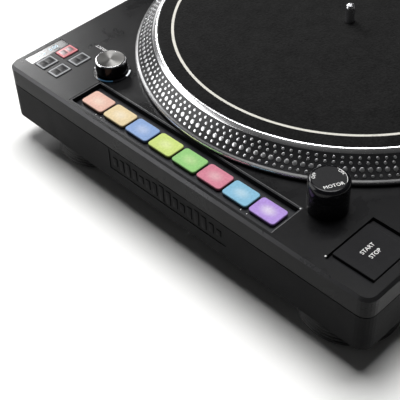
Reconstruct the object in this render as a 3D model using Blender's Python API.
"""Direct-drive turntable with a row of eight lit performance pads.

The deck stands on z = 0 with its origin under the middle of the case. +X is the
right-hand side, where the tonearm is, +Y is the rear with the sockets, +Z is up.
"""
import math

import bmesh
import bpy
from mathutils import Matrix, Vector

MM = 0.001
DEG = math.pi / 180

# ---- clearances ----
GAP = 0.3 * MM            # between two pieces that touch or slide on each other
BUTTON_GAP = 0.35 * MM    # around a button in its hole

# ---- case ----
CASE_WIDTH = 458 * MM     # left to right
CASE_DEPTH = 354 * MM     # front to rear
CASE_CORNER = 9 * MM
CASE_CHAMFER = 2 * MM
DECK_HEIGHT = 70 * MM     # floor to the top of the deck plate
SIDE_HEIGHT = 46.9 * MM   # height of the side wall
SEAM_DROP = 16 * MM       # the seam between the two case halves, below the deck
SEAM_GAP = 0.8 * MM
DECK_THICKNESS = 4 * MM
WALL = 3 * MM             # base case wall
LIP_WALL = 2 * MM         # tongue of the top case inside the base case
LIP_DROP = 4 * MM

# ---- feet ----
FOOT_RADIUS = 35.5 * MM
FOOT_INSET = 40 * MM      # from the left or right side
FOOT_FRONT_INSET = 41 * MM
FOOT_REAR_INSET = 58.5 * MM
FOOT_STEP = 1.6 * MM      # each rubber ridge is narrower than the one below

# ---- platter and motor ----
RIM_FROM_LEFT = 33 * MM   # the platter's rim from the left side of the case
PLATTER_RADIUS = 166 * MM
PLATTER_LIFT = 1.5 * MM   # gap between deck and platter
PLATTER_RISE = 19 * MM    # deck to the platter's rim
PLATTER_RIM_SLOPE = 11.9 * MM
PLATTER_FLOOR = 4 * MM
MAT_STEP = 1.6 * MM       # depth of the seat that holds the slipmat
MAT_THICKNESS = 1.6 * MM
SPINDLE_RADIUS = 3.6 * MM
SPINDLE_RISE = 16 * MM    # spindle tip above the slipmat
ROTOR_RADIUS = 66 * MM
ROTOR_THICKNESS = 12 * MM
ROTOR_HEIGHT = 9.5 * MM
MOTOR_PLATE = 3 * MM
BEARING_RADIUS = 10 * MM
BEARING_DROP = 36 * MM    # bearing tube below the deck

# ---- pads ----
PAD_COUNT = 8
PAD_WIDTH = 16.2 * MM     # across the row
PAD_LENGTH = 22.4 * MM    # along the row
PAD_SPACING = 1.74 * MM   # between one pad and the next
PAD_CORNER = 2.6 * MM
PAD_TRAVEL = 0.8 * MM
PAD_HEIGHT = 1.9 * MM
PAD_DROP = 1.5 * MM       # pad top below the deck
PAD_ROW_FROM_LEFT = 19.2 * MM
PAD_ROW_Y = 4.7 * MM
TRAY_SIDE_MARGIN = 7.05 * MM
TRAY_END_MARGIN = 4.9 * MM
TRAY_WALL = 1.1 * MM

# ---- controls on the left ----
ENCODER_FROM_LEFT = 48.6 * MM
ENCODER_Y = 107.9 * MM
ENCODER_RADIUS = 12.3 * MM
ENCODER_HEIGHT = 12.4 * MM
ENCODER_RING_WIDTH = 2.3 * MM   # the lit ring shows this far outside the knob
ENCODER_TRAVEL = 0.7 * MM
MODE_WIDTH = 14.9 * MM
MODE_LENGTH = 10.7 * MM
MODE_FROM_LEFT = 21.9 * MM
MODE_Y = 138.5 * MM
MODE_COLUMN_SPACING = 4.9 * MM
MODE_ROW_SPACING = 4.8 * MM
DISPLAY_WIDTH = 37 * MM
DISPLAY_DEPTH = 9.8 * MM
DISPLAY_Y = 166.5 * MM
KNOB_FROM_LEFT = 46.5 * MM
KNOB_Y = -106.2 * MM
KNOB_RADIUS = 14 * MM
KNOB_HEIGHT = 25 * MM     # strobe post and motor knob together
START_WIDTH = 36 * MM
START_DEPTH = 32.4 * MM
START_FLANGE = 5.8 * MM   # dark flange on each side of the button
START_FROM_LEFT = 35 * MM
START_FROM_FRONT = 26.3 * MM
SPEED_WIDTH = 12 * MM
SPEED_DEPTH = 9 * MM
SPEED_SPACING = 6 * MM
BUTTON_RISE = 1.0 * MM    # small buttons stand this far above the deck
BUTTON_ROOT = 5 * MM      # and reach this far below it

# ---- controls on the right ----
PITCH_FROM_RIGHT = 30 * MM
PITCH_Y = -101 * MM
PITCH_PANEL_WIDTH = 32 * MM
PITCH_TRAVEL = 50 * MM    # each way
FADER_WIDTH = 20 * MM
FADER_LENGTH = 12 * MM
FADER_HEIGHT = 9 * MM
RESET_WIDTH = 10 * MM
RESET_DEPTH = 7 * MM
LIGHT_RADIUS = 6.5 * MM
LIGHT_LENGTH = 30 * MM

# ---- tonearm ----
ARM_BASE_CLEAR = 9 * MM   # the arm base from the platter's rim
ARM_OVERHANG = 15 * MM
ARM_PIVOT_OUTSIDE = 29 * MM   # pivot to the right of the platter's rim
ARM_AXIS_RISE = 19.1 * MM     # arm tube centre above the arm's platform
ARM_TUBE_RADIUS = 4.75 * MM
ARM_OFFSET = 22 * DEG     # headshell angle
ARM_BASE_RADIUS = 40 * MM
ARM_BASE_HEIGHT = 10 * MM
HEIGHT_RING_RADIUS = 34 * MM
HEIGHT_RING_HEIGHT = 10 * MM
PILLAR_RADIUS = 20 * MM
PLATFORM_THICKNESS = 4 * MM
YOKE_HALF_WIDTH = 15 * MM
YOKE_CHEEK = 4 * MM
PIVOT_BLOCK_RADIUS = 10 * MM
PIVOT_BLOCK_HALF = 10 * MM
REAR_SHAFT_RADIUS = 4.5 * MM
REAR_SHAFT_END = 72 * MM
WEIGHT_RADIUS = 16 * MM
WEIGHT_LENGTH = 24 * MM
WEIGHT_START = 38 * MM    # from the pivot
FORCE_DIAL_RADIUS = 13 * MM
FORCE_DIAL_LENGTH = 7 * MM
HEADSHELL_LENGTH = 52 * MM  # tube end to stylus, along the headshell
STYLUS_CLEARANCE = 3 * MM   # stylus tip above the slipmat
REST_BEYOND_RING = 27 * MM  # arm rest from the height ring
LIFT_TRAVEL = 7 * MM

# ---- rear sockets ----
REAR_PANEL_WIDTH = 300 * MM
REAR_PANEL_HEIGHT = 22 * MM
REAR_PANEL_THICKNESS = 2.5 * MM
INLET_X = 110 * MM
INLET_WIDTH = 25 * MM
INLET_HEIGHT = 17.4 * MM
INLET_DEPTH = 16 * MM
USB_X = -110 * MM
USB_WIDTH = 8.6 * MM
USB_HEIGHT = 7.8 * MM
PHONO_X = -60 * MM
PHONO_PITCH = 20 * MM
PHONO_RECESS = 11 * MM

# ---- places that follow from the sizes above ----
LEFT = -CASE_WIDTH / 2
RIGHT = CASE_WIDTH / 2
FRONT = -CASE_DEPTH / 2
REAR = CASE_DEPTH / 2
CASE_BOTTOM = DECK_HEIGHT - SIDE_HEIGHT
SEAM_Z = DECK_HEIGHT - SEAM_DROP
DECK_UNDERSIDE = DECK_HEIGHT - DECK_THICKNESS
BASE_FLOOR = CASE_BOTTOM + WALL
PLATTER_X = LEFT + RIM_FROM_LEFT + PLATTER_RADIUS
PLATTER_Y = 0.0
PLATTER_TOP = DECK_HEIGHT + PLATTER_RISE
MAT_BOTTOM = PLATTER_TOP - MAT_STEP + GAP
MAT_TOP = MAT_BOTTOM + MAT_THICKNESS
MAT_RADIUS = PLATTER_RADIUS - 18.8 * MM
MOTOR_HOLE_RADIUS = ROTOR_RADIUS + 6 * MM
PIVOT_TO_SPINDLE = PLATTER_RADIUS + ARM_BASE_CLEAR + ARM_BASE_RADIUS
ARM_LENGTH = PIVOT_TO_SPINDLE + ARM_OVERHANG   # pivot to stylus
ARM_OFFSET_X = PLATTER_RADIUS + ARM_PIVOT_OUTSIDE
ARM_X = PLATTER_X + ARM_OFFSET_X
ARM_Y = math.sqrt(PIVOT_TO_SPINDLE ** 2 - ARM_OFFSET_X ** 2)
RING_BOTTOM = DECK_HEIGHT + ARM_BASE_HEIGHT + GAP
RING_TOP = RING_BOTTOM + HEIGHT_RING_HEIGHT
LIFT_DISTANCE = HEIGHT_RING_RADIUS + 4.5 * MM   # cue lift from the pivot
PLATFORM_BOTTOM = RING_TOP + 2 * GAP
PLATFORM_TOP = PLATFORM_BOTTOM + PLATFORM_THICKNESS
ARM_AXIS_Z = PLATFORM_TOP + ARM_AXIS_RISE
REST_DISTANCE = HEIGHT_RING_RADIUS + REST_BEYOND_RING   # arm rest from the pivot
PAD_TOP = DECK_HEIGHT - PAD_DROP
PAD_PITCH = PAD_LENGTH + PAD_SPACING
TRAY_WIDTH = PAD_WIDTH + 2 * TRAY_SIDE_MARGIN
TRAY_LENGTH = (PAD_COUNT - 1) * PAD_PITCH + PAD_LENGTH + 2 * TRAY_END_MARGIN
TRAY_X = LEFT + PAD_ROW_FROM_LEFT
TRAY_FLOOR = PAD_TOP - PAD_HEIGHT - PAD_TRAVEL - GAP
ENCODER_X = LEFT + ENCODER_FROM_LEFT
ENCODER_RING_RADIUS = ENCODER_RADIUS + ENCODER_RING_WIDTH
MODE_COLUMN_PITCH = MODE_WIDTH + MODE_COLUMN_SPACING
MODE_ROW_PITCH = MODE_LENGTH + MODE_ROW_SPACING
SPEED_PITCH = SPEED_WIDTH + SPEED_SPACING
KNOB_X = LEFT + KNOB_FROM_LEFT
START_X = LEFT + START_FROM_LEFT
START_Y = FRONT + START_FROM_FRONT
SPEED_X = START_X + START_WIDTH / 2 + START_FLANGE + SPEED_PITCH * 0.8
SPEED_Y = FRONT + 17 * MM
PITCH_X = RIGHT - PITCH_FROM_RIGHT
PITCH_PANEL_LENGTH = 2 * PITCH_TRAVEL + FADER_LENGTH + 6 * MM
RESET_Y = PITCH_Y + PITCH_PANEL_LENGTH / 2 + 14 * MM
LIGHT_X = ARM_X - 65 * MM
LIGHT_Y = max(ARM_Y - ARM_LENGTH - 16.5 * MM, FRONT + 2 * LIGHT_RADIUS)
REAR_PANEL_Z = (BASE_FLOOR + SEAM_Z) / 2 - 1 * MM
LIGHT_HOLE = LIGHT_RADIUS + BUTTON_GAP

# ---- finishes: colour, roughness, metallic ----
FINISHES = {
    "deck": ((0.035, 0.035, 0.037), 0.45, 0.6),
    "black_plastic": ((0.012, 0.012, 0.013), 0.5, 0.0),
    "gloss_black": ((0.008, 0.008, 0.01), 0.12, 0.0),
    "rubber": ((0.015, 0.015, 0.015), 0.85, 0.0),
    "aluminium": ((0.75, 0.75, 0.76), 0.25, 1.0),
    "steel": ((0.6, 0.6, 0.62), 0.2, 1.0),
    "dark_metal": ((0.05, 0.05, 0.055), 0.3, 0.9),
    "felt": ((0.01, 0.01, 0.01), 0.95, 0.0),
    "lamp": ((0.9, 0.92, 0.95), 0.4, 0.0),
    "board": ((0.02, 0.12, 0.05), 0.5, 0.0),
    "copper": ((0.7, 0.3, 0.15), 0.35, 1.0),
    "strobe_red": ((0.6, 0.08, 0.03), 0.2, 0.0),
}
PAD_COLOURS = [
    (0.95, 0.55, 0.42), (0.95, 0.8, 0.45), (0.45, 0.6, 0.95), (0.8, 0.9, 0.4),
    (0.45, 0.85, 0.4), (0.95, 0.4, 0.5), (0.4, 0.7, 0.95), (0.65, 0.35, 0.9),
]


# ---- scene and object helpers ----
def clear_scene():
    for obj in list(bpy.data.objects):
        bpy.data.objects.remove(obj, do_unlink=True)


def make_material(name, colour, roughness, metallic):
    material = bpy.data.materials.new(name)
    material.use_nodes = True
    shader = material.node_tree.nodes["Principled BSDF"]
    shader.inputs["Base Color"].default_value = (*colour, 1.0)
    shader.inputs["Roughness"].default_value = roughness
    shader.inputs["Metallic"].default_value = metallic
    return material


def to_mesh_object(name, shape, origin):
    """Turn a bmesh in world coordinates into an object whose origin is at origin."""
    bmesh.ops.translate(shape, verts=shape.verts, vec=-Vector(origin))
    mesh = bpy.data.meshes.new(name)
    shape.to_mesh(mesh)
    shape.free()
    obj = bpy.data.objects.new(name, mesh)
    obj.location = origin
    bpy.context.scene.collection.objects.link(obj)
    return obj


def piece(name, shape, finish, origin=(0, 0, 0), add=(), cut=()):
    """One sub-part: a base shape, with shapes joined to it and shapes cut from it."""
    obj = to_mesh_object(name, shape, origin)
    colour, roughness, metallic = FINISHES[finish]
    obj.data.materials.append(make_material(name + "_finish", colour, roughness, metallic))
    for number, extra in enumerate(add, 1):
        boolean(obj, f"{name}_add_{number}", extra, "UNION")
    for number, cutter in enumerate(cut, 1):
        boolean(obj, f"{name}_cut_{number}", cutter, "DIFFERENCE")
    obj.data.shade_smooth()
    obj.data.set_sharp_from_angle(angle=32 * DEG)
    return obj


def boolean(obj, name, shape, operation):
    helper = to_mesh_object(name, shape, (0, 0, 0))
    helper.hide_render = True
    helper.display_type = 'WIRE'
    modifier = obj.modifiers.new(name, 'BOOLEAN')
    modifier.operation = operation
    modifier.solver = 'EXACT'
    modifier.object = helper


# ---- shapes, all as bmesh in world coordinates ----
def rounded_outline(width, depth, corner, steps=4):
    """Points anticlockwise round a rectangle with rounded corners, centred on 0."""
    if corner <= 0:
        half = (width / 2, depth / 2)
        return [(sx * half[0], sy * half[1]) for sx, sy in ((1, -1), (1, 1), (-1, 1), (-1, -1))]
    points = []
    for quarter, (sx, sy) in enumerate(((1, 1), (-1, 1), (-1, -1), (1, -1))):
        centre = (sx * (width / 2 - corner), sy * (depth / 2 - corner))
        for step in range(steps + 1):
            angle = (quarter + step / steps) * math.pi / 2
            points.append((centre[0] + corner * math.cos(angle), centre[1] + corner * math.sin(angle)))
    return points


def stack(layers):
    """A closed solid through level rings: each layer is (points, z)."""
    shape = bmesh.new()
    rings = [[shape.verts.new((x, y, z)) for x, y in points] for points, z in layers]
    for lower, upper in zip(rings, rings[1:]):
        for index in range(len(lower)):
            following = (index + 1) % len(lower)
            shape.faces.new((lower[index], lower[following], upper[following], upper[index]))
    shape.faces.new(list(reversed(rings[0])))
    shape.faces.new(rings[-1])
    bmesh.ops.recalc_face_normals(shape, faces=shape.faces)
    return shape


def slab(centre, size, corner=0.0, chamfer=0.0, steps=4):
    """A box by its centre and size, with round upright corners and a chamfered top edge."""
    (x, y, z), (width, depth, height) = centre, size
    low, high = z - height / 2, z + height / 2
    full = rounded_outline(width, depth, corner, steps)
    layers = [(full, low), (full, high - chamfer)]
    if chamfer > 0:
        inner = rounded_outline(width - 2 * chamfer, depth - 2 * chamfer,
                                max(corner - chamfer, corner * 0.3), steps)
        layers.append((inner, high))
    shape = stack(layers)
    bmesh.ops.translate(shape, verts=shape.verts, vec=(x, y, 0))
    return shape


def turned(centre, profile, steps=32, axis="Z"):
    """Spin (radius, height) points round an axis; a profile off the axis is a closed ring."""
    shape = bmesh.new()
    verts = [shape.verts.new((radius, 0, height)) for radius, height in profile]
    on_axis = profile[0][0] == 0 and profile[-1][0] == 0
    pairs = list(zip(verts, verts[1:]))
    if not on_axis:
        pairs.append((verts[-1], verts[0]))
    edges = [shape.edges.new(pair) for pair in pairs]
    bmesh.ops.spin(shape, geom=verts + edges, cent=(0, 0, 0), axis=(0, 0, 1),
                   angle=math.tau, steps=steps, use_merge=True)
    bmesh.ops.remove_doubles(shape, verts=shape.verts, dist=1e-7)
    bmesh.ops.recalc_face_normals(shape, faces=shape.faces)
    if axis == "X":
        bmesh.ops.rotate(shape, verts=shape.verts, matrix=Matrix.Rotation(math.pi / 2, 3, 'Y'))
    if axis == "Y":
        bmesh.ops.rotate(shape, verts=shape.verts, matrix=Matrix.Rotation(-math.pi / 2, 3, 'X'))
    bmesh.ops.translate(shape, verts=shape.verts, vec=centre)
    return shape


def rod(start, end, radius, sides=24, end_radius=None):
    """A cylinder or cone between two points."""
    start, end = Vector(start), Vector(end)
    direction = end - start
    shape = bmesh.new()
    bmesh.ops.create_cone(shape, cap_ends=True, segments=sides, radius1=radius,
                          radius2=radius if end_radius is None else end_radius, depth=direction.length)
    turn = Vector((0, 0, 1)).rotation_difference(direction).to_matrix()
    bmesh.ops.rotate(shape, verts=shape.verts, matrix=turn)
    bmesh.ops.translate(shape, verts=shape.verts, vec=(start + end) / 2)
    return shape


def together(*shapes):
    """Several separate bodies as one cutter."""
    joined = bmesh.new()
    for shape in shapes:
        mesh = bpy.data.meshes.new("joined")
        shape.to_mesh(mesh)
        shape.free()
        joined.from_mesh(mesh)
        bpy.data.meshes.remove(mesh)
    return joined


def upright_hole(x, y, radius, sides=24):
    """A cutter for a round hole right through the deck."""
    return rod((x, y, DECK_UNDERSIDE - LIP_WALL), (x, y, DECK_HEIGHT + LIP_WALL), radius, sides)


def deck_window(x, y, width, depth, corner=0.0):
    """A cutter for a rectangular hole right through the deck."""
    return slab((x, y, (DECK_UNDERSIDE + DECK_HEIGHT) / 2), (width, depth, DECK_THICKNESS + 5 * MM), corner)


def turn_about(shape, centre, angle):
    """Turn a shape about an upright line through centre."""
    bmesh.ops.rotate(shape, verts=shape.verts, cent=centre, matrix=Matrix.Rotation(angle, 3, 'Z'))
    return shape


# ---- where the repeated controls are ----
def pad_places():
    first = PAD_ROW_Y + (PAD_COUNT - 1) / 2 * PAD_PITCH
    return [(TRAY_X, first - index * PAD_PITCH) for index in range(PAD_COUNT)]


def mode_places():
    columns = [LEFT + MODE_FROM_LEFT, LEFT + MODE_FROM_LEFT + MODE_COLUMN_PITCH]
    rows = [MODE_Y, MODE_Y + MODE_ROW_PITCH]
    return [(x, y) for y in rows for x in columns]


def speed_places():
    return {"speed_33_button": (SPEED_X, SPEED_Y), "speed_45_button": (SPEED_X + SPEED_PITCH, SPEED_Y)}


def foot_places():
    return {
        "foot_front_left": (LEFT + FOOT_INSET, FRONT + FOOT_FRONT_INSET),
        "foot_front_right": (RIGHT - FOOT_INSET, FRONT + FOOT_FRONT_INSET),
        "foot_rear_left": (LEFT + FOOT_INSET, REAR - FOOT_REAR_INSET),
        "foot_rear_right": (RIGHT - FOOT_INSET, REAR - FOOT_REAR_INSET),
    }


# ---- case ----
def make_top_case():
    middle = (SEAM_Z + DECK_HEIGHT) / 2
    outer = slab((0, 0, middle), (CASE_WIDTH, CASE_DEPTH, SEAM_DROP), CASE_CORNER, CASE_CHAMFER, 6)
    lip_width = CASE_WIDTH - 2 * (WALL + GAP)
    lip_depth = CASE_DEPTH - 2 * (WALL + GAP)
    lip_corner = CASE_CORNER - WALL - GAP
    lip_height = LIP_DROP + LIP_WALL
    lip = slab((0, 0, SEAM_Z - LIP_DROP + lip_height / 2), (lip_width, lip_depth, lip_height), lip_corner)
    cavity_bottom = SEAM_Z - LIP_DROP - 1 * MM
    cavity_height = DECK_UNDERSIDE - cavity_bottom
    cavity = slab((0, 0, cavity_bottom + cavity_height / 2),
                  (lip_width - 2 * LIP_WALL, lip_depth - 2 * LIP_WALL, cavity_height), lip_corner - LIP_WALL)
    start_width = START_WIDTH + 2 * (START_FLANGE + BUTTON_GAP)
    start_depth = START_DEPTH + 2 * (BUTTON_GAP + 0.7 * MM)
    windows = [
        slab((TRAY_X, PAD_ROW_Y, DECK_UNDERSIDE), (TRAY_WIDTH, TRAY_LENGTH, 2 * DECK_THICKNESS + 2 * MM)),
        deck_window(LEFT + MODE_FROM_LEFT + MODE_COLUMN_PITCH / 2, DISPLAY_Y, DISPLAY_WIDTH, DISPLAY_DEPTH),
        deck_window(START_X, START_Y, start_width, start_depth),
        deck_window(PITCH_X, PITCH_Y, PITCH_PANEL_WIDTH, PITCH_PANEL_LENGTH),
        deck_window(PITCH_X, RESET_Y, RESET_WIDTH + 2 * BUTTON_GAP, RESET_DEPTH + 2 * BUTTON_GAP),
        upright_hole(PLATTER_X, PLATTER_Y, MOTOR_HOLE_RADIUS, 48),
        upright_hole(ENCODER_X, ENCODER_Y, ENCODER_RADIUS / 2),
        upright_hole(KNOB_X, KNOB_Y, KNOB_RADIUS / 2),
        upright_hole(LIGHT_X, LIGHT_Y, LIGHT_HOLE),
    ]
    for x, y in mode_places():
        windows.append(deck_window(x, y, MODE_WIDTH + 2 * BUTTON_GAP, MODE_LENGTH + 2 * BUTTON_GAP))
    for x, y in speed_places().values():
        windows.append(deck_window(x, y, SPEED_WIDTH + 2 * BUTTON_GAP, SPEED_DEPTH + 2 * BUTTON_GAP))
    piece("top_case", outer, "deck", add=[lip], cut=[cavity, together(*windows)])


def make_base_case():
    height = SEAM_Z - SEAM_GAP - CASE_BOTTOM
    outer = slab((0, 0, CASE_BOTTOM + height / 2), (CASE_WIDTH, CASE_DEPTH, height), CASE_CORNER, 0, 6)
    cavity = slab((0, 0, BASE_FLOOR + height / 2), (CASE_WIDTH - 2 * WALL, CASE_DEPTH - 2 * WALL, height),
                  CASE_CORNER - WALL)
    window = slab((0, REAR, REAR_PANEL_Z), (REAR_PANEL_WIDTH, 4 * WALL, REAR_PANEL_HEIGHT))
    emblem_height = 17.8 * MM
    emblem_z = SEAM_Z - 2.5 * MM - emblem_height / 2
    emblem = slab((LEFT, PLATTER_Y, emblem_z), (1.0 * MM, 118 * MM, emblem_height))
    piece("base_case", outer, "black_plastic", cut=[cavity, together(window, emblem)])


def make_rear_panel():
    thickness = REAR_PANEL_THICKNESS
    y = REAR - GAP - thickness / 2
    plate = slab((0, y, REAR_PANEL_Z),
                 (REAR_PANEL_WIDTH - 2 * GAP, thickness, REAR_PANEL_HEIGHT - 2 * GAP))
    holes = together(
        slab((INLET_X, y, REAR_PANEL_Z),
             (INLET_WIDTH + 4 * GAP + 3 * MM, 3 * thickness, INLET_HEIGHT + 2.6 * MM)),
        slab((USB_X, y, REAR_PANEL_Z), (USB_WIDTH + 3 * MM, 3 * thickness, USB_HEIGHT + 3 * MM)),
        slab((PHONO_X, y, REAR_PANEL_Z), (2.6 * PHONO_PITCH, 3 * thickness, 17 * MM)))
    piece("rear_panel", plate, "dark_metal", cut=[holes])


def make_feet():
    top = CASE_BOTTOM - GAP
    ridges = 4
    ridge_height = top / ridges
    profile = [(0, 0), (FOOT_RADIUS - 2.5 * MM, 0), (FOOT_RADIUS, 1.5 * MM)]
    for ridge in range(ridges):
        radius = FOOT_RADIUS - ridge * FOOT_STEP
        ridge_top = (ridge + 1) * ridge_height
        last = ridge == ridges - 1
        profile.append((radius, ridge_top if last else ridge_top - 1.2 * MM))
        if not last:
            profile.append((radius - FOOT_STEP, ridge_top))
    profile.append((0, top))
    for name, (x, y) in foot_places().items():
        piece(name, turned((x, y, 0), profile, 24), "rubber", origin=(x, y, 0))


# ---- pads and left-hand controls ----
def make_pads():
    outer = (TRAY_WIDTH - 2 * GAP, TRAY_LENGTH - 2 * GAP)
    bottom = TRAY_FLOOR - 2 * MM
    top = DECK_HEIGHT - GAP
    tub = slab((TRAY_X, PAD_ROW_Y, (bottom + top) / 2), (*outer, top - bottom))
    hollow = slab((TRAY_X, PAD_ROW_Y, TRAY_FLOOR + 5 * MM),
                  (outer[0] - 2 * TRAY_WALL, outer[1] - 2 * TRAY_WALL, 10 * MM))
    piece("pad_tray", tub, "gloss_black", cut=[hollow])
    for number, (x, y) in enumerate(pad_places(), 1):
        centre = (x, y, PAD_TOP - PAD_HEIGHT / 2)
        pad = piece(f"pad_{number}", slab(centre, (PAD_WIDTH, PAD_LENGTH, PAD_HEIGHT), PAD_CORNER, 0.4 * MM),
                    "lamp", origin=centre)
        shader = pad.data.materials[0].node_tree.nodes["Principled BSDF"]
        shader.inputs["Base Color"].default_value = (*PAD_COLOURS[(number - 1) % len(PAD_COLOURS)], 1.0)


def make_button(name, x, y, width, depth, finish="lamp"):
    height = BUTTON_RISE + BUTTON_ROOT
    centre = (x, y, DECK_HEIGHT + BUTTON_RISE - height / 2)
    piece(name, slab(centre, (width, depth, height), 0.8 * MM, 0.4 * MM), finish, origin=centre)


def make_mode_buttons():
    for number, (x, y) in enumerate(mode_places(), 1):
        make_button(f"mode_button_{number}", x, y, MODE_WIDTH, MODE_LENGTH)


def make_display():
    centre = (LEFT + MODE_FROM_LEFT + MODE_COLUMN_PITCH / 2, DISPLAY_Y, DECK_HEIGHT - 1.2 * MM)
    piece("display_window", slab(centre, (DISPLAY_WIDTH - 2 * GAP, DISPLAY_DEPTH - 2 * GAP, 1.8 * MM)),
          "gloss_black")


def make_encoder():
    place = (ENCODER_X, ENCODER_Y, DECK_HEIGHT)
    ring_top = 1.0 * MM
    shaft = 3 * MM
    ring = [(shaft + 2 * GAP, GAP), (ENCODER_RING_RADIUS, GAP), (ENCODER_RING_RADIUS, ring_top - 0.3 * MM),
            (ENCODER_RING_RADIUS - 0.3 * MM, ring_top), (shaft + 2 * GAP, ring_top)]
    piece("encoder_ring", turned(place, ring, 32), "lamp")
    seat = 5 * MM             # the knob's bore covers the shaft from here up
    shaft_top = ENCODER_HEIGHT - 3 * MM
    stem = [(0, -9 * MM), (ENCODER_RADIUS / 2 - 2 * GAP, -9 * MM), (ENCODER_RADIUS / 2 - 2 * GAP, -1.6 * MM),
            (shaft, -1.6 * MM), (shaft, shaft_top), (0, shaft_top)]
    piece("encoder_shaft", turned(place, stem, 24), "steel", origin=place)
    skirt = ring_top + ENCODER_TRAVEL + GAP
    top = ENCODER_RADIUS - 0.5 * MM
    knob = [(0, shaft_top + GAP), (shaft + GAP, shaft_top + GAP), (shaft + GAP, skirt + seat - 4.5 * MM),
            (ENCODER_RADIUS - 0.4 * MM, skirt + 0.5 * MM), (ENCODER_RADIUS, skirt + 1.2 * MM),
            (top, ENCODER_HEIGHT - 0.7 * MM), (top - 0.7 * MM, ENCODER_HEIGHT), (0, ENCODER_HEIGHT)]
    piece("encoder_knob", turned(place, knob, 32), "dark_metal", origin=place)


def make_strobe_and_motor_knob():
    place = (KNOB_X, KNOB_Y, DECK_HEIGHT)
    post_top = 0.55 * KNOB_HEIGHT
    stem = KNOB_RADIUS / 2 - 2 * GAP
    post = [(0, -10 * MM), (stem, -10 * MM), (stem, GAP), (KNOB_RADIUS, GAP), (KNOB_RADIUS, post_top),
            (0, post_top)]
    aim = math.atan2(PLATTER_Y - KNOB_Y, PLATTER_X - KNOB_X)
    window_height = 6 * MM
    middle = DECK_HEIGHT + GAP + 2 * MM + window_height / 2
    opening = slab((KNOB_X + KNOB_RADIUS, KNOB_Y, middle), (8 * MM, 9 * MM, window_height))
    socket = turn_about(opening, place, aim)
    piece("strobe_post", turned(place, post, 32), "gloss_black", cut=[socket])
    lens_centre = (KNOB_X + KNOB_RADIUS - 2.4 * MM, KNOB_Y, middle)
    lens = slab(lens_centre, (2.6 * MM, 9 * MM - 2 * GAP, window_height - 2 * GAP))
    piece("strobe_window", turn_about(lens, place, aim), "strobe_red")
    knob = [(0, post_top + GAP), (KNOB_RADIUS, post_top + GAP), (KNOB_RADIUS, KNOB_HEIGHT - 2 * MM),
            (KNOB_RADIUS - 1.7 * MM, KNOB_HEIGHT), (0, KNOB_HEIGHT)]
    piece("motor_knob", turned(place, knob, 32), "gloss_black", origin=place)


def make_start_and_speed_buttons():
    flange_top = DECK_HEIGHT - 2.6 * MM
    flange_height = 2 * MM
    cap_top = DECK_HEIGHT - 0.2 * MM
    flange = slab((START_X, START_Y, flange_top - flange_height / 2),
                  (START_WIDTH + 2 * START_FLANGE, START_DEPTH + 1.4 * MM, flange_height))
    cap_height = cap_top - flange_top + flange_height / 2
    cap = slab((START_X, START_Y, cap_top - cap_height / 2), (START_WIDTH, START_DEPTH, cap_height), 0.8 * MM,
               0.3 * MM)
    piece("start_stop_button", flange, "gloss_black", origin=(START_X, START_Y, cap_top), add=[cap])
    for name, (x, y) in speed_places().items():
        make_button(name, x, y, SPEED_WIDTH, SPEED_DEPTH)


# ---- right-hand controls ----
def make_pitch_fader():
    thickness = 3 * MM
    top = DECK_HEIGHT - GAP
    plate = slab((PITCH_X, PITCH_Y, top - thickness / 2),
                 (PITCH_PANEL_WIDTH - 2 * GAP, PITCH_PANEL_LENGTH - 2 * GAP, thickness))
    slot_length = 2 * PITCH_TRAVEL + 7 * MM
    slot = slab((PITCH_X, PITCH_Y, top), (4.4 * MM, slot_length, 4 * thickness), 2.1 * MM)
    piece("pitch_panel", plate, "black_plastic", cut=[slot])
    grip_bottom = DECK_HEIGHT + 2 * GAP
    grip = slab((PITCH_X, PITCH_Y, grip_bottom + FADER_HEIGHT / 2), (FADER_WIDTH, FADER_LENGTH, FADER_HEIGHT),
                1.2 * MM, 1.5 * MM)
    stem_bottom = DECK_HEIGHT - 8 * MM
    stem = slab((PITCH_X, PITCH_Y, (stem_bottom + grip_bottom + 2 * MM) / 2),
                (3 * MM, 5 * MM, grip_bottom + 2 * MM - stem_bottom))
    finger_groove = rod((PITCH_X - FADER_WIDTH, PITCH_Y, grip_bottom + FADER_HEIGHT + 1.6 * MM),
                        (PITCH_X + FADER_WIDTH, PITCH_Y, grip_bottom + FADER_HEIGHT + 1.6 * MM), 3 * MM, 16)
    piece("pitch_fader_cap", grip, "black_plastic", origin=(PITCH_X, PITCH_Y, top), add=[stem],
          cut=[finger_groove])
    make_button("pitch_reset_button", PITCH_X, RESET_Y, RESET_WIDTH, RESET_DEPTH)


def make_target_light():
    top = BUTTON_RISE
    profile = [(0, top - LIGHT_LENGTH), (LIGHT_RADIUS, top - LIGHT_LENGTH), (LIGHT_RADIUS, top - 0.6 * MM),
               (LIGHT_RADIUS - 0.6 * MM, top), (0, top)]
    place = (LIGHT_X, LIGHT_Y, DECK_HEIGHT)
    window = turn_about(slab((LIGHT_X + LIGHT_RADIUS, LIGHT_Y, DECK_HEIGHT - 6 * MM),
                             (5 * MM, 6 * MM, 5 * MM)), place, 110 * DEG)
    piece("target_light", turned(place, profile, 24), "black_plastic", origin=place, cut=[window])


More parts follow.
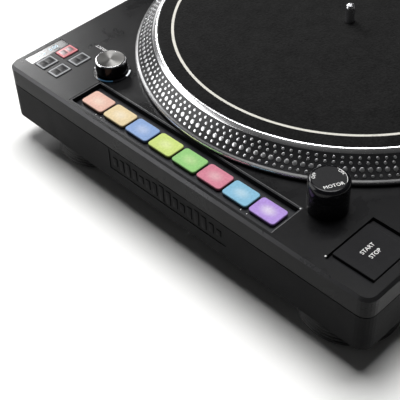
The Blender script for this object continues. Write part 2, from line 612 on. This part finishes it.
# ---- platter and motor ----
def make_platter():
    place = (PLATTER_X, PLATTER_Y, DECK_HEIGHT)
    radius, rise = PLATTER_RADIUS, PLATTER_RISE
    bore = SPINDLE_RADIUS + GAP
    seat = rise - MAT_STEP
    thin_floor = seat - PLATTER_FLOOR
    boss = PLATTER_LIFT + 5.1 * MM
    rim = radius - 2.4 * MM - PLATTER_RIM_SLOPE
    inner = MAT_RADIUS - 1 * MM
    profile = [
        (bore, boss), (ROTOR_RADIUS + 2 * MM, boss), (ROTOR_RADIUS + 5 * MM, thin_floor),
        (inner - 3 * MM, thin_floor), (inner + 3 * MM, thin_floor - 2 * MM),
        (radius - 5 * MM, PLATTER_LIFT), (radius - 0.6 * MM, PLATTER_LIFT),
        (radius, PLATTER_LIFT + 0.7 * MM), (radius, PLATTER_LIFT + 1.7 * MM),
        (radius - 0.8 * MM, PLATTER_LIFT + 2.6 * MM),
        (radius - 2.4 * MM, PLATTER_LIFT + 3 * MM), (rim, rise - 2.3 * MM), (rim - 2 * MM, rise - 0.3 * MM),
        (rim - 2.6 * MM, rise), (MAT_RADIUS + GAP, rise), (MAT_RADIUS + GAP, seat), (bore, seat),
    ]
    piece("platter", turned(place, profile, 64), "aluminium", origin=place)
    mat = slipmat_profile(bore)
    piece("slipmat", turned((PLATTER_X, PLATTER_Y, 0), mat, 32), "felt")


def slipmat_profile(bore):
    return [(bore, MAT_BOTTOM), (MAT_RADIUS, MAT_BOTTOM), (MAT_RADIUS, MAT_TOP), (bore, MAT_TOP)]


def make_motor():
    place = (PLATTER_X, PLATTER_Y, DECK_HEIGHT)
    boss = PLATTER_LIFT + 5.1 * MM
    flange_top = boss - GAP
    flange_bottom = flange_top - 3.3 * MM
    tip = MAT_TOP + SPINDLE_RISE - DECK_HEIGHT
    spindle = [(0, -BEARING_DROP + 4 * MM), (SPINDLE_RADIUS, -BEARING_DROP + 4 * MM),
               (SPINDLE_RADIUS, flange_bottom), (BEARING_RADIUS + 2 * MM, flange_bottom),
               (BEARING_RADIUS + 2 * MM, flange_top), (SPINDLE_RADIUS, flange_top),
               (SPINDLE_RADIUS, tip - 3 * MM), (SPINDLE_RADIUS * 0.8, tip - 1.2 * MM),
               (SPINDLE_RADIUS * 0.4, tip - 0.2 * MM), (0, tip)]
    piece("spindle", turned(place, spindle, 24), "steel", origin=place)
    plate_top = -DECK_THICKNESS - GAP
    tube_top = flange_bottom - GAP
    bore = SPINDLE_RADIUS + GAP
    housing = [(0, -BEARING_DROP), (BEARING_RADIUS, -BEARING_DROP), (BEARING_RADIUS, plate_top - MOTOR_PLATE),
               (MOTOR_HOLE_RADIUS + 9 * MM, plate_top - MOTOR_PLATE), (MOTOR_HOLE_RADIUS + 9 * MM, plate_top),
               (BEARING_RADIUS, plate_top), (BEARING_RADIUS, tube_top), (bore, tube_top),
               (bore, -BEARING_DROP + 4 * MM - GAP), (0, -BEARING_DROP + 4 * MM - GAP)]
    piece("bearing_housing", turned(place, housing, 28), "steel")
    rotor_inner = ROTOR_RADIUS - ROTOR_THICKNESS
    rotor = [(rotor_inner, flange_top - ROTOR_HEIGHT), (ROTOR_RADIUS, flange_top - ROTOR_HEIGHT),
             (ROTOR_RADIUS, flange_top), (rotor_inner, flange_top)]
    piece("rotor_magnet", turned(place, rotor, 28), "dark_metal")
    coil_outer = rotor_inner - 4 * MM
    coil_bottom = plate_top + GAP
    coil_top = coil_bottom + 5.5 * MM
    coils = [(BEARING_RADIUS + 5 * MM, coil_bottom), (coil_outer, coil_bottom), (coil_outer, coil_top),
             (coil_outer * 0.55, coil_top), (coil_outer * 0.5, coil_top - 2 * MM),
             (BEARING_RADIUS + 5 * MM, coil_top - 2 * MM)]
    piece("stator_coils", turned(place, coils, 28), "copper")


# ---- electronics and sockets ----
def make_boards():
    board_z = BASE_FLOOR + 4.5 * MM
    board_thickness = 1.6 * MM
    board_x = LEFT + 52 * MM
    length = 0.6 * CASE_DEPTH
    board = slab((board_x, 0, board_z), (76 * MM, length, board_thickness))
    parts = [slab((board_x - 14 * MM, 30 * MM, board_z + 2 * MM), (18 * MM, 18 * MM, 4 * MM)),
             slab((board_x + 16 * MM, -20 * MM, board_z + 3 * MM), (14 * MM, 26 * MM, 6 * MM)),
             slab((board_x, -70 * MM, board_z + 5 * MM), (30 * MM, 12 * MM, 10 * MM))]
    for side_x in (-30 * MM, 30 * MM):
        for side_y in (-0.45, 0.45):
            foot = (board_x + side_x, side_y * length, BASE_FLOOR + GAP)
            parts.append(rod(foot, (foot[0], foot[1], board_z), 3 * MM, 12))
    piece("main_board", board, "board", add=[together(*parts)])
    supply_x = INLET_X - 10 * MM
    supply_y = REAR - 62 * MM
    supply = slab((supply_x, supply_y, BASE_FLOOR + GAP + 1 * MM), (84 * MM, 70 * MM, 2 * MM))
    blocks = together(
        slab((supply_x - 18 * MM, supply_y, BASE_FLOOR + 10 * MM), (34 * MM, 36 * MM, 18 * MM)),
        slab((supply_x + 22 * MM, supply_y + 10 * MM, BASE_FLOOR + 8 * MM), (16 * MM, 30 * MM, 14 * MM)),
        rod((supply_x + 20 * MM, supply_y - 20 * MM, BASE_FLOOR + 1.5 * MM),
            (supply_x + 20 * MM, supply_y - 20 * MM, BASE_FLOOR + 20 * MM), 8 * MM, 16))
    piece("power_supply", supply, "board", add=[blocks])


def make_power_inlet():
    mouth = REAR - GAP
    wall = 1.4 * MM
    width, height = INLET_WIDTH + 2 * wall, INLET_HEIGHT + 2 * wall - 0.8 * MM
    body = slab((INLET_X, mouth - INLET_DEPTH / 2, REAR_PANEL_Z), (width, INLET_DEPTH, height))
    socket = slab((INLET_X, mouth, REAR_PANEL_Z), (INLET_WIDTH, 2 * INLET_DEPTH - 4 * MM, INLET_HEIGHT))
    pin_start = mouth - INLET_DEPTH + 1 * MM
    pin_length = INLET_DEPTH - 4 * MM
    pins = [slab((INLET_X + x, pin_start + pin_length / 2, REAR_PANEL_Z + z), (2 * MM, pin_length, 4 * MM))
            for x, z in ((-7 * MM, -2.1 * MM), (0, 2.1 * MM), (7 * MM, -2.1 * MM))]
    inlet = piece("power_inlet", body, "black_plastic", cut=[socket])
    boolean(inlet, "power_inlet_pins", together(*pins), "UNION")


def make_usb_jack():
    mouth = REAR - GAP
    depth = 14 * MM
    body = slab((USB_X, mouth - depth / 2, REAR_PANEL_Z), (USB_WIDTH + 2 * MM, depth, USB_HEIGHT + 2 * MM))
    socket = slab((USB_X, mouth, REAR_PANEL_Z), (USB_WIDTH, 2 * depth - 4 * MM, USB_HEIGHT))
    jack = piece("usb_jack", body, "steel", cut=[socket])
    tongue_length = 6.5 * MM
    tongue = slab((USB_X, mouth - depth + 1 * MM + tongue_length / 2, REAR_PANEL_Z),
                  (5.6 * MM, tongue_length, 3.2 * MM))
    boolean(jack, "usb_jack_tongue", tongue, "UNION")


def make_phono_jacks():
    """A moulded tub behind the rear panel with the two round sockets on its floor."""
    mouth = REAR - GAP - REAR_PANEL_THICKNESS - GAP
    floor = REAR - PHONO_RECESS
    width, height = 2.6 * PHONO_PITCH + 3 * MM, 17 * MM + 3 * MM
    depth = mouth - floor + 2 * MM
    tub = slab((PHONO_X, mouth - depth / 2, REAR_PANEL_Z), (width, depth, height))
    hollow = slab((PHONO_X, floor + depth, REAR_PANEL_Z), (width - 3 * MM, 2 * depth, height - 3 * MM))
    jack = piece("phono_jacks", tub, "black_plastic", cut=[hollow])
    sockets = []
    for side in (-0.5, 0.5):
        place = (PHONO_X + side * PHONO_PITCH, floor - 1 * MM, REAR_PANEL_Z)
        end = PHONO_RECESS - 1 * MM
        profile = [(0, 0), (5.5 * MM, 0), (5.5 * MM, 2.6 * MM), (4.2 * MM, 2.6 * MM), (4.2 * MM, end),
                   (3.3 * MM, end), (3.3 * MM, 4 * MM), (0, 4 * MM)]
        sockets.append(turned(place, profile, 20, "Y"))
    boolean(jack, "phono_jacks_sockets", together(*sockets), "UNION")


# ---- tonearm ----
def from_pivot(x, y, z):
    """A point given from the arm's upright axis, with z from the arm tube's centre."""
    return (ARM_X + x, ARM_Y + y, ARM_AXIS_Z + z)


def make_arm_base():
    bore = PILLAR_RADIUS + GAP
    deck = (ARM_X, ARM_Y, DECK_HEIGHT)
    base = [(bore, GAP), (ARM_BASE_RADIUS, GAP), (ARM_BASE_RADIUS, ARM_BASE_HEIGHT - 4 * MM),
            (ARM_BASE_RADIUS - 4 * MM, ARM_BASE_HEIGHT), (bore, ARM_BASE_HEIGHT)]
    piece("tonearm_base", turned(deck, base, 32), "dark_metal")
    ring_place = (ARM_X, ARM_Y, RING_BOTTOM)
    ring = [(bore, 0), (HEIGHT_RING_RADIUS - 0.6 * MM, 0), (HEIGHT_RING_RADIUS, 0.6 * MM),
            (HEIGHT_RING_RADIUS, HEIGHT_RING_HEIGHT - 0.8 * MM),
            (HEIGHT_RING_RADIUS - 0.8 * MM, HEIGHT_RING_HEIGHT), (bore, HEIGHT_RING_HEIGHT)]
    piece("height_ring", turned(ring_place, ring, 32), "dark_metal", origin=ring_place)


def make_arm_pillar():
    """Rises in the base; its platform carries the yoke, arm rest, cue lift and dials."""
    shaft_bottom = DECK_HEIGHT + 2 * GAP
    shaft = rod((ARM_X, ARM_Y, shaft_bottom), (ARM_X, ARM_Y, PLATFORM_TOP), PILLAR_RADIUS, 28)
    disc = rod((ARM_X, ARM_Y, PLATFORM_BOTTOM), (ARM_X, ARM_Y, PLATFORM_TOP), PILLAR_RADIUS + 3 * MM, 28)
    tab_left, tab_right, tab_front, tab_rear = -14 * MM, 44 * MM, -REST_DISTANCE - 8 * MM, 2 * MM
    tab = slab((ARM_X + (tab_left + tab_right) / 2, ARM_Y + (tab_front + tab_rear) / 2,
                (PLATFORM_BOTTOM + PLATFORM_TOP) / 2),
               (tab_right - tab_left, tab_rear - tab_front, PLATFORM_THICKNESS), 8 * MM)
    support_top = ARM_AXIS_Z - ARM_TUBE_RADIUS - 2 * GAP
    overlap = 1 * MM
    support_bottom = PLATFORM_TOP - overlap
    rest_y = ARM_Y - REST_DISTANCE
    support = slab((ARM_X + 2 * MM, rest_y, (support_bottom + support_top) / 2),
                   (18 * MM, 6 * MM, support_top - support_bottom))
    guard_left = ARM_TUBE_RADIUS + 2 * GAP
    guard_right = 11 * MM
    guard_top = ARM_AXIS_Z + ARM_TUBE_RADIUS - 2 * GAP
    guard = slab((ARM_X + (guard_left + guard_right) / 2, rest_y, (support_bottom + guard_top) / 2),
                 (guard_right - guard_left, 6 * MM, guard_top - support_bottom))
    cheek = slab((ARM_X + 40.5 * MM, ARM_Y - 40 * MM, PLATFORM_TOP + 4 * MM),
                 (5 * MM, 9 * MM, 10 * MM), 0, 1 * MM)
    yoke_hole = rod((ARM_X, ARM_Y, PLATFORM_TOP - 12 * MM), (ARM_X, ARM_Y, PLATFORM_TOP + 1 * MM),
                    4 * MM + 2 * GAP, 16)
    lift_hole = rod((ARM_X, ARM_Y - LIFT_DISTANCE, PLATFORM_BOTTOM - 2 * MM),
                    (ARM_X, ARM_Y - LIFT_DISTANCE, PLATFORM_TOP + 1 * MM), 2.5 * MM + 2 * GAP, 20)
    piece("arm_pillar", shaft, "dark_metal", origin=(ARM_X, ARM_Y, PLATFORM_BOTTOM),
          add=[disc, tab, support, guard, cheek], cut=[together(yoke_hole, lift_hole)])


def make_yoke():
    base_bottom = PLATFORM_TOP + GAP
    base_top = base_bottom + 2.6 * MM
    disc = rod((ARM_X, ARM_Y, base_bottom), (ARM_X, ARM_Y, base_top),
               YOKE_HALF_WIDTH + YOKE_CHEEK + 1 * MM, 28)
    pin = rod((ARM_X, ARM_Y, PLATFORM_TOP - 11 * MM), (ARM_X, ARM_Y, base_top), 4 * MM, 16)
    cheek_top = ARM_AXIS_Z + 7 * MM
    cheek_x = YOKE_HALF_WIDTH + YOKE_CHEEK / 2
    cheeks = [slab((ARM_X + side * cheek_x, ARM_Y, (base_bottom + 1 * MM + cheek_top) / 2),
                   (YOKE_CHEEK, 11 * MM, cheek_top - base_bottom - 1 * MM), 0, 0.8 * MM)
              for side in (-1, 1)]
    holes = rod(from_pivot(-30 * MM, 0, 0), from_pivot(30 * MM, 0, 0), 2 * MM + GAP, 12)
    piece("gimbal_yoke", disc, "aluminium", origin=(ARM_X, ARM_Y, base_bottom),
          add=[pin, together(*cheeks)], cut=[holes])


def make_pivot_block():
    half = PIVOT_BLOCK_HALF
    radius = PIVOT_BLOCK_RADIUS
    profile = [(0, -half), (radius - 1 * MM, -half), (radius, -half + 1 * MM), (radius, half - 1 * MM),
               (radius - 1 * MM, half), (0, half)]
    block = turned(from_pivot(0, 0, 0), profile, 32, "Y")
    pin_end = YOKE_HALF_WIDTH + YOKE_CHEEK - 0.5 * MM
    pins = rod(from_pivot(-pin_end, 0, 0), from_pivot(pin_end, 0, 0), 2 * MM, 16)
    shaft = rod(from_pivot(0, half - 2 * MM, 0), from_pivot(0, REAR_SHAFT_END, 0), REAR_SHAFT_RADIUS, 20)
    piece("pivot_block", block, "aluminium", origin=from_pivot(0, 0, 0), add=[pins, shaft])


def headshell_frame():
    """The tube's end and the headshell's direction in plan, from the pivot."""
    direction = Vector((-math.sin(ARM_OFFSET), -math.cos(ARM_OFFSET)))
    stylus = Vector((0, -ARM_LENGTH))
    return stylus - direction * HEADSHELL_LENGTH, direction


def arm_route(count=22):
    """The S-shaped centre line of the tube: straight, then one smooth curve to the headshell."""
    end, direction = headshell_frame()
    start = Vector((0, -PIVOT_BLOCK_HALF - GAP))
    bend = Vector((0, -0.37 * ARM_LENGTH))
    straight = end - direction * 10 * MM
    reach = 0.18 * ARM_LENGTH
    handles = (bend, bend + Vector((0, -reach)), straight - direction * reach, straight)
    points = [start, (start + bend) / 2]
    for step in range(count):
        t = step / (count - 1)
        weights = ((1 - t) ** 3, 3 * (1 - t) ** 2 * t, 3 * (1 - t) * t ** 2, t ** 3)
        points.append(sum((handle * weight for handle, weight in zip(handles, weights)), Vector((0, 0))))
    return points + [end]


def make_arm_tube():
    curve = bpy.data.curves.new("arm_tube", 'CURVE')
    curve.dimensions = '3D'
    curve.bevel_depth = ARM_TUBE_RADIUS
    curve.bevel_resolution = 3
    curve.use_fill_caps = True
    points = arm_route()
    spline = curve.splines.new('POLY')
    spline.points.add(len(points) - 1)
    for target, (x, y) in zip(spline.points, points):
        target.co = (x, y, 0, 1)
    spline.use_smooth = True
    tube = bpy.data.objects.new("arm_tube", curve)
    tube.location = from_pivot(0, 0, 0)
    colour, roughness, metallic = FINISHES["aluminium"]
    curve.materials.append(make_material("arm_tube_finish", colour, roughness, metallic))
    bpy.context.scene.collection.objects.link(tube)


def along_headshell(distance, side=0.0, drop=0.0):
    """A point at a distance past the tube's end, to one side and below the tube's centre."""
    end, direction = headshell_frame()
    across = Vector((-direction.y, direction.x))
    point = end + direction * distance + across * side
    return from_pivot(point.x, point.y, -drop)


def headshell_slab(distance, length, width, drop, height, corner=0.0, side=0.0):
    """A box laid along the headshell; drop is from the tube's centre to the box's middle."""
    centre = along_headshell(distance + length / 2, side, drop)
    shape = slab(centre, (width, length, height), corner)
    return turn_about(shape, centre, -ARM_OFFSET)


def make_headshell():
    collar_start, collar_end = -9 * MM, 6 * MM
    bore = ARM_TUBE_RADIUS + GAP
    collar = rod(along_headshell(collar_start), along_headshell(collar_end), bore + 1.7 * MM, 32)
    hole = rod(along_headshell(collar_start - 2 * MM), along_headshell(collar_end + 2 * MM), bore, 32)
    piece("locking_collar", collar, "aluminium", origin=along_headshell(0), cut=[hole])
    stub = rod(along_headshell(GAP), along_headshell(12 * MM), 4 * MM, 24)
    plate_drop = 1.2 * MM
    plate = headshell_slab(9 * MM, 52 * MM, 18 * MM, plate_drop, 2.6 * MM, 3 * MM)
    finger = headshell_slab(42 * MM, 5 * MM, 16 * MM, plate_drop, 1.4 * MM, 0.6 * MM, 14 * MM)
    tip = headshell_slab(42 * MM, 5 * MM, 2 * MM, plate_drop - 1.6 * MM, 4.6 * MM, 0.6 * MM, 21.4 * MM)
    piece("headshell", stub, "black_plastic", add=[plate, finger, tip])
    top = plate_drop + 1.3 * MM + GAP
    tip_drop = ARM_AXIS_Z - (MAT_TOP + STYLUS_CLEARANCE)
    body_height = tip_drop - top - 4.5 * MM
    body = headshell_slab(38 * MM, 20 * MM, 15.5 * MM, top + body_height / 2, body_height, 1.5 * MM)
    nose_start = along_headshell(HEADSHELL_LENGTH, 0, top + body_height - 1 * MM)
    nose = rod(nose_start, along_headshell(HEADSHELL_LENGTH, 0, tip_drop), 2.6 * MM, 12, 0.3 * MM)
    piece("cartridge", body, "black_plastic", add=[nose])


def make_counterweight():
    bore = REAR_SHAFT_RADIUS + GAP
    radius = WEIGHT_RADIUS
    end = WEIGHT_START + WEIGHT_LENGTH
    weight = [(bore, WEIGHT_START), (radius - 1 * MM, WEIGHT_START), (radius, WEIGHT_START + 1 * MM),
              (radius, end - 1.5 * MM), (radius - 1.5 * MM, end), (bore, end)]
    piece("counterweight", turned(from_pivot(0, 0, 0), weight, 28, "Y"), "dark_metal",
          origin=from_pivot(0, WEIGHT_START, 0))
    dial_end = WEIGHT_START - GAP
    dial_start = dial_end - FORCE_DIAL_LENGTH
    dial = [(bore, dial_start), (FORCE_DIAL_RADIUS - 0.8 * MM, dial_start),
            (FORCE_DIAL_RADIUS, dial_start + 0.8 * MM), (FORCE_DIAL_RADIUS, dial_end), (bore, dial_end)]
    piece("force_dial", turned(from_pivot(0, 0, 0), dial, 28, "Y"), "dark_metal",
          origin=from_pivot(0, dial_start, 0))


def make_arm_fittings():
    dial_place = (ARM_X + 33 * MM, ARM_Y - 9 * MM, PLATFORM_TOP + GAP)
    dial = [(0, 0), (9 * MM, 0), (9 * MM, 7.2 * MM), (8.2 * MM, 8 * MM), (0, 8 * MM)]
    piece("anti_skate_dial", turned(dial_place, dial, 32), "dark_metal", origin=dial_place)

    lever_z = PLATFORM_TOP + 6 * MM
    hub_right = ARM_X + 38 * MM - GAP
    hub_y = ARM_Y - 40 * MM
    hub = rod((hub_right - 9 * MM, hub_y, lever_z), (hub_right, hub_y, lever_z), 3.4 * MM, 20)
    handle_x = hub_right - 5 * MM
    handle_end = (handle_x, hub_y - 25 * MM, lever_z + 7 * MM)
    handle = rod((handle_x, hub_y, lever_z), handle_end, 1.5 * MM, 12)
    grip = rod((handle_x, hub_y - 19 * MM, lever_z + 5.3 * MM), handle_end, 2.4 * MM, 16, 2.9 * MM)
    piece("cue_lever", hub, "steel", origin=(handle_x, hub_y, lever_z), add=[handle, grip])

    bar_top = ARM_AXIS_Z - ARM_TUBE_RADIUS - LIFT_TRAVEL - 1.2 * MM
    bar_height = 2.5 * MM
    lift_y = ARM_Y - LIFT_DISTANCE
    bar = slab((ARM_X - 4 * MM, lift_y, bar_top - bar_height / 2), (22 * MM, 4 * MM, bar_height), 1.2 * MM)
    stem_bottom = PLATFORM_TOP - LIFT_TRAVEL - PLATFORM_THICKNESS
    stem = rod((ARM_X, lift_y, stem_bottom), (ARM_X, lift_y, bar_top - 1 * MM), 2.5 * MM, 20)
    piece("cue_lift", bar, "rubber", origin=(ARM_X, lift_y, bar_top), add=[stem])

    hinge = (ARM_X + 8.2 * MM, ARM_Y - REST_DISTANCE, ARM_AXIS_Z + ARM_TUBE_RADIUS + 1.8 * MM)
    hub = rod((hinge[0], hinge[1] - 3 * MM, hinge[2]), (hinge[0], hinge[1] + 3 * MM, hinge[2]), 2 * MM, 20)
    strap = slab((hinge[0] + 8.5 * MM, hinge[1], hinge[2]), (16 * MM, 4 * MM, 1.8 * MM), 1.4 * MM)
    piece("arm_clip", hub, "black_plastic", origin=hinge, add=[strap])


def main():
    clear_scene()
    make_top_case()
    make_base_case()
    make_rear_panel()
    make_feet()
    make_pads()
    make_mode_buttons()
    make_display()
    make_encoder()
    make_strobe_and_motor_knob()
    make_start_and_speed_buttons()
    make_pitch_fader()
    make_target_light()
    make_platter()
    make_motor()
    make_boards()
    make_power_inlet()
    make_usb_jack()
    make_phono_jacks()
    make_arm_base()
    make_arm_pillar()
    make_yoke()
    make_pivot_block()
    make_arm_tube()
    make_headshell()
    make_counterweight()
    make_arm_fittings()


main()
